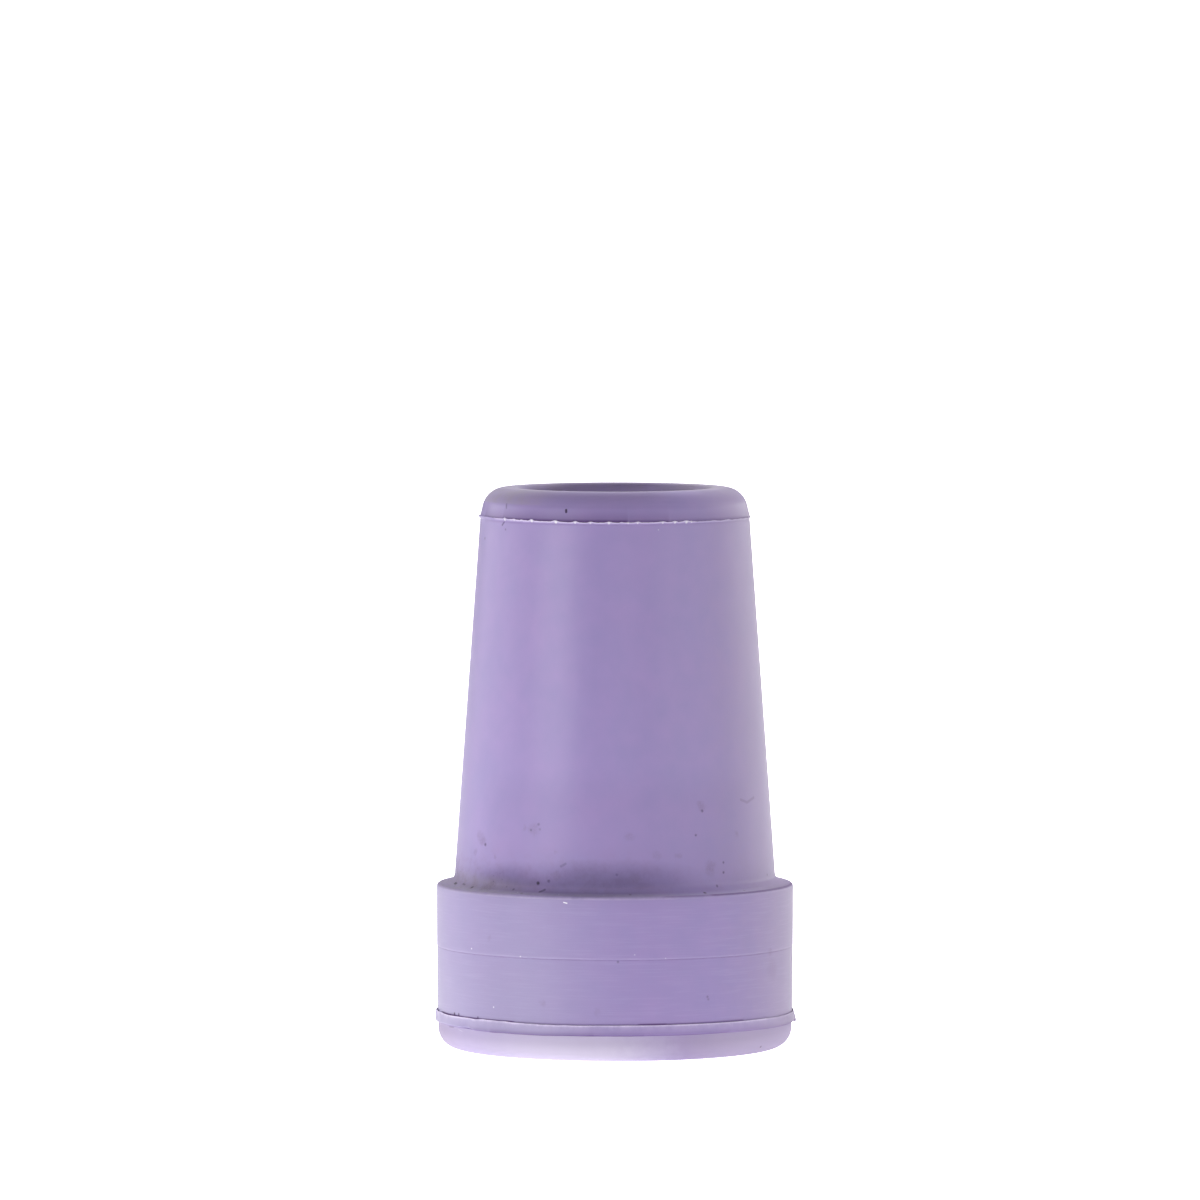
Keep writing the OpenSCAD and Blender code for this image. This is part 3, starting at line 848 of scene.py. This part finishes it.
def crevice_shade_pattern(chain, pattern, tip, flash):
    """Strength of the painted shade in the crevices of both flashes and under the witness line."""
    mid_skirt = (tip.parting_height + flash.skirt_height * 0.65) / MM
    top_of_skirt = (tip.parting_height + flash.skirt_height + 0.6 * MM) / MM
    mid_body = (tip.height / 2) / MM
    behind = chain.ramp(pattern.patch, 0.3, 0.7, 0.4, 0.75)
    gap = stretch_pattern(chain, pattern.angle, GAP_SHADES, behind)
    fold = stretch_pattern(chain, pattern.angle, FOLD_SHADES, behind)
    rim = stretch_pattern(chain, pattern.angle, RIM_SHADES, behind)
    bead = stretch_pattern(chain, pattern.angle, BEAD_SHADES, behind)
    step = 0.05
    under_rim = 14.0
    by_height = chain.ramp(pattern.height, mid_skirt, mid_skirt + step)
    lower = chain.add("ShaderNodeMix", {0: by_height, 2: fold, 3: gap}).outputs[0]
    witness = chain.ramp(pattern.patch, 0.3, 0.7, 0.5, 1.0)
    lower = chain.add("ShaderNodeMix", {
        0: chain.ramp(pattern.height, top_of_skirt, top_of_skirt + step), 2: lower, 3: witness}).outputs[0]
    lower = chain.add("ShaderNodeMix", {
        0: chain.ramp(pattern.height, under_rim, under_rim + step), 2: lower, 3: rim}).outputs[0]
    whole = chain.add("ShaderNodeMix", {
        0: chain.ramp(pattern.height, mid_body, mid_body + step), 2: lower, 3: bead}).outputs[0]
    return chain.math("MULTIPLY", attribute(chain, "deep"), whole)


def thin_and_highlight_pattern(chain, pattern, tip):
    """Strength of the pale colour: thin torn rubber on the upper flash, and painted highlights along the folded
    flash's free edge, above the witness step, on the ledge's rounded edge and in the cove.
    """
    behind = chain.ramp(pattern.patch, 0.3, 0.7, 0.3, 1.0)
    bead = stretch_pattern(chain, pattern.angle, BEAD_TEARS, behind)
    parting = (tip.height - tip.lip_height) / MM
    bead = chain.math("MULTIPLY", bead, chain.ramp(pattern.height, parting, parting + 0.12, 0.45, 1.0))
    mid_body = (tip.height / 2) / MM
    lower = chain.ramp(pattern.patch, 0.3, 0.7, 0.5, 1.0)
    at_right = chain.math("MULTIPLY", chain.ramp(pattern.side, 50, 66, 0.0, 0.65), chain.ramp(
        pattern.height, 6.0, 5.0))
    rim_right = chain.math("MULTIPLY", chain.ramp(pattern.side, 8, 28, 0.0, 0.6), chain.ramp(
        pattern.height, 14.0, 15.0))
    at_left = chain.math("MULTIPLY", chain.ramp(pattern.side, -30, -56, 0.0, 0.65), chain.ramp(
        pattern.height, 14.0, 15.0))
    less = chain.most([at_right, at_left, rim_right])
    lower = chain.math("MULTIPLY", lower, chain.math("SUBTRACT", 1.0, less))
    whole = chain.add("ShaderNodeMix", {
        0: chain.ramp(pattern.height, mid_body, mid_body + 0.05), 2: lower, 3: bead}).outputs[0]
    return chain.math("MULTIPLY", attribute(chain, "pale"), whole)


def rubber_material(tip, flash, finish):
    """Lilac rubber: satin, with fine lines, dust and marks, painted shade in crevices and on the lip's top, and
    pale torn edges with painted highlights.
    """
    material = bpy.data.materials.new("lilac rubber")
    material.use_nodes = True
    tree = material.node_tree
    tree.nodes.clear()
    chain = NodeChain(tree)
    pattern = RubberPattern(chain)

    ring_lines = ring_line_pattern(chain, pattern, finish)
    film, smudges, grains = dirt_pattern(chain, pattern, tip)
    colour = clean_rubber(chain, pattern, tip, finish)
    colour = chain.mix(chain.math("MULTIPLY", ring_lines, 0.3, clamp=True), colour, tuple(finish.pale))
    stain_and_shade, lip_top_shade = stain_and_shade_patterns(chain, pattern)
    # the dark band above the ledge: partly a stain, partly painted shade
    colour = chain.mix(stain_and_shade, colour, tuple(finish.stain_and_shade))
    # painted shade on the lip's top
    colour = chain.mix(lip_top_shade, colour, tuple(finish.lip_top_shade))
    colour = chain.mix(film, colour, tuple(finish.film))
    colour = chain.mix(smudges, colour, tuple(finish.smudge))
    colour = chain.mix(grains, colour, tuple(finish.grain))
    # painted shade in the crevices, folds and gaps, under the witness step and on the lip above the upper flash
    crevice = crevice_shade_pattern(chain, pattern, tip, flash)
    colour = chain.mix(crevice, colour, tuple(finish.deep))
    # pale thin rubber on the upper flash, and painted highlights on the edges below it
    colour = chain.mix(thin_and_highlight_pattern(chain, pattern, tip), colour, tuple(finish.pale))
    specks = mark_pattern(chain, pattern.place, tip, WHITE_SPECKS)
    white = chain.most([specks, streak_pattern(chain, pattern.place, tip, SCRATCHES)])
    colour = chain.mix(white, colour, tuple(finish.dust))

    looks_up = chain.math("MULTIPLY", chain.ramp(pattern.upward, 0.25, 0.6, 0.0, 0.6), chain.ramp(
        pattern.height, 16.0, 16.4))
    on_foot = chain.ramp(pattern.height, tip.parting_height / MM + 0.2, tip.parting_height / MM, 0.0, 0.6)
    dull = chain.most([film, stain_and_shade, smudges, grains, looks_up, on_foot])
    roughness = chain.ramp(dull, 0.0, 0.6, finish.roughness, finish.soiled_roughness)
    shut_in = chain.most([crevice, on_foot])
    open_air = chain.math("SUBTRACT", 1.0, shut_in)
    grain = chain.noise(pattern.place, finish.grain_size / MM, detail=2.0)
    swell = chain.noise(pattern.place, 5.0, detail=1.0)
    relief = chain.math("ADD", chain.math("MULTIPLY", grain, 0.006), chain.math("MULTIPLY", ring_lines, 0.01))
    relief = chain.math("ADD", relief, chain.math("MULTIPLY", swell, 0.07))
    bump = chain.add("ShaderNodeBump", {"Height": relief, "Strength": 1.0, "Distance": MM})
    shader = chain.add("ShaderNodeBsdfPrincipled", {
        "Base Color": colour, "Roughness": roughness, "IOR": 1.5, "Normal": bump.outputs["Normal"],
        "Specular IOR Level": chain.math("MULTIPLY", open_air, 0.5),
        "Sheen Weight": chain.math("MULTIPLY", open_air, finish.sheen), "Sheen Roughness": 0.4})
    output = chain.add("ShaderNodeOutputMaterial")
    tree.links.new(shader.outputs["BSDF"], output.inputs["Surface"])
    return material


class CANETIP_OT_mould_tip(Operator):
    """Mould the tip: spin its section, tear and fold its flash, and give it its rubber"""

    bl_idname = "canetip.mould_tip"
    bl_label = "Mould the tip"
    bl_options = {"REGISTER", "UNDO"}

    def execute(self, context):
        tip = context.scene.tip_sizes
        flash = context.scene.tip_flash
        outline = draw_section(tip, flash)
        piece = trace_outline(outline, "moulded_tip")
        note_strengths(piece, outline)
        spin_outline(piece, tip.slices)
        ruffle(piece, "rag", 0.35 * MM, flash.bead_rag, "Z", depth=2)
        ruffle(piece, "rag", 0.5 * MM, flash.bead_rag * 0.5, "NORMAL", depth=1)
        ruffle(piece, "sway", 4.0 * MM, flash.skirt_sway, "NORMAL", depth=2)
        pull_flash(piece, "rag", BEAD_PULLS)
        pull_flash(piece, "sway", SKIRT_PULLS)
        bpy.ops.object.shade_smooth_by_angle(angle=math.radians(40))
        piece.data.materials.append(rubber_material(tip, flash, context.scene.tip_finish))
        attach(piece, "root")
        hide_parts(NODE)
        return {"FINISHED"}


# Angle round the tip of the brightest part of the floor, in degrees
FRONT_LEFT = -50.0


def add_floor(studio):
    """A white floor, lit from under like a light table, and seen only from above."""
    start_clean()
    bpy.ops.mesh.primitive_plane_add(size=studio.floor_size)
    floor = bpy.context.object
    floor.name = floor.data.name = "studio_floor"
    material = bpy.data.materials.new("white floor")
    material.use_nodes = True
    tree = material.node_tree
    tree.nodes.clear()
    chain = NodeChain(tree)
    place = chain.add("ShaderNodeTexCoord").outputs["Object"]
    lit = chain.vector("DISTANCE", place, around(FRONT_LEFT, studio.front_away, 0.0), output="Value")
    front = chain.ramp(lit, studio.front_size, 0.0, 0.0, studio.front_glow)
    glow = chain.math("ADD", studio.floor_glow, front)
    seen = chain.add("ShaderNodeLightPath").outputs["Is Camera Ray"]
    brightness = chain.math("MAXIMUM", glow, chain.math("MULTIPLY", seen, studio.backdrop))
    white = chain.add("ShaderNodeBsdfDiffuse", {"Color": (0.8, 0.8, 0.8, 1.0)})
    glow = chain.add("ShaderNodeEmission", {"Strength": brightness})
    lit = chain.add("ShaderNodeAddShader", {0: white.outputs[0], 1: glow.outputs[0]})
    clear = chain.add("ShaderNodeBsdfTransparent")
    under = chain.add("ShaderNodeNewGeometry").outputs["Backfacing"]
    surface = chain.add("ShaderNodeMixShader", {0: under, 1: lit.outputs[0], 2: clear.outputs[0]})
    output = chain.add("ShaderNodeOutputMaterial")
    tree.links.new(surface.outputs[0], output.inputs["Surface"])
    floor.data.materials.append(material)


LIGHT_AWAY = 1.3
LIGHT_AIM = Vector((0.0, 0.0, 0.03))


def add_light(name, angle, rise, width, power):
    """A soft panel that faces the tip, at an angle round it and a rise above it in degrees."""
    start_clean()
    lift = math.radians(rise)
    spot = LIGHT_AIM + around(angle, LIGHT_AWAY * math.cos(lift), LIGHT_AWAY * math.sin(lift))
    bpy.ops.object.light_add(type="AREA", location=spot)
    light = bpy.context.object
    light.name = light.data.name = name
    light.data.shape = "RECTANGLE"
    light.data.size = width
    light.data.size_y = 0.5
    light.data.energy = power
    light.rotation_euler = (LIGHT_AIM - spot).to_track_quat("-Z", "Y").to_euler()
    light.visible_camera = False


def light_world(studio):
    """White behind the tip for the camera, and a dimmer room for the light on the rubber."""
    world = bpy.data.worlds.new("studio room")
    bpy.context.scene.world = world
    world.use_nodes = True
    tree = world.node_tree
    tree.nodes.clear()
    chain = NodeChain(tree)
    seen = chain.add("ShaderNodeLightPath").outputs["Is Camera Ray"]
    room = chain.add("ShaderNodeBackground", {"Color": (1.0, 1.0, 1.0, 1.0), "Strength": studio.room})
    white = chain.add("ShaderNodeBackground", {"Color": (1.0, 1.0, 1.0, 1.0), "Strength": studio.backdrop})
    both = chain.add("ShaderNodeMixShader", {0: seen, 1: room.outputs[0], 2: white.outputs[0]})
    output = chain.add("ShaderNodeOutputWorld")
    tree.links.new(both.outputs[0], output.inputs["Surface"])


def add_camera(studio):
    """A long lens, a little above the floor and to the left of the tip."""
    start_clean()
    bpy.ops.object.camera_add(
        location=(-studio.camera_side, -studio.camera_distance, studio.camera_height),
        rotation=(math.pi / 2 - studio.camera_pitch, 0.0, 0.0))
    camera = bpy.context.object
    camera.name = camera.data.name = "studio_camera"
    camera.data.sensor_width = 36.0
    camera.data.lens = studio.lens
    camera.data.clip_end = 20.0
    bpy.context.scene.camera = camera


class CANETIP_OT_set_stage(Operator):
    """Set the stage: a white floor, soft lights and the camera"""

    bl_idname = "canetip.set_stage"
    bl_label = "Set the stage"
    bl_options = {"REGISTER", "UNDO"}

    def execute(self, context):
        studio = context.scene.tip_studio
        add_floor(studio)
        add_light("key", -49.0, 12.0, 0.68, studio.key)
        add_light("left_fill", -75.0, 12.0, 0.51, studio.left_fill)
        add_light("left_rim", -112.0, 12.0, 1.36, studio.left_rim)
        add_light("front_fill", 8.0, 12.0, 0.51, studio.front_fill)
        add_light("right_fill", 60.0, 12.0, 1.36, studio.right_fill)
        add_light("right_side", 128.0, 12.0, 1.7, studio.right_side)
        add_light("top_right", 135.0, 45.0, 1.0, studio.top_right)
        add_light("top_back", -155.0, 45.0, 1.0, studio.top_back)
        light_world(studio)
        add_camera(studio)
        context.scene.view_settings.view_transform = "Standard"
        return {"FINISHED"}


class CANETIP_PT_sidebar(Panel):
    """Buttons and sizes of the cane tip"""

    bl_idname = "CANETIP_PT_sidebar"
    bl_label = "Cane tip"
    bl_space_type = "VIEW_3D"
    bl_region_type = "UI"
    bl_category = "Cane tip"

    def draw(self, context):
        layout = self.layout
        layout.use_property_split = True
        layout.operator(CANETIP_OT_mould_tip.bl_idname)
        layout.operator(CANETIP_OT_set_stage.bl_idname)
        for name in SETTINGS:
            group = getattr(context.scene, name)
            box = layout.box()
            for prop in group.__annotations__:
                box.prop(group, prop)


SETTINGS = {
    "tip_sizes": TipSizes,
    "tip_flash": FlashSizes,
    "tip_finish": RubberFinish,
    "tip_studio": StudioSizes,
}
CLASSES = (*SETTINGS.values(), CANETIP_OT_mould_tip, CANETIP_OT_set_stage, CANETIP_PT_sidebar)


def register():
    for cls in CLASSES:
        bpy.utils.register_class(cls)
    for name, group in SETTINGS.items():
        setattr(bpy.types.Scene, name, PointerProperty(type=group))


def unregister():
    for name in SETTINGS:
        delattr(bpy.types.Scene, name)
    for cls in reversed(CLASSES):
        bpy.utils.unregister_class(cls)


def main():
    register()
    bpy.ops.canetip.mould_tip()
    bpy.ops.canetip.set_stage()


if __name__ == "__main__":
    main()
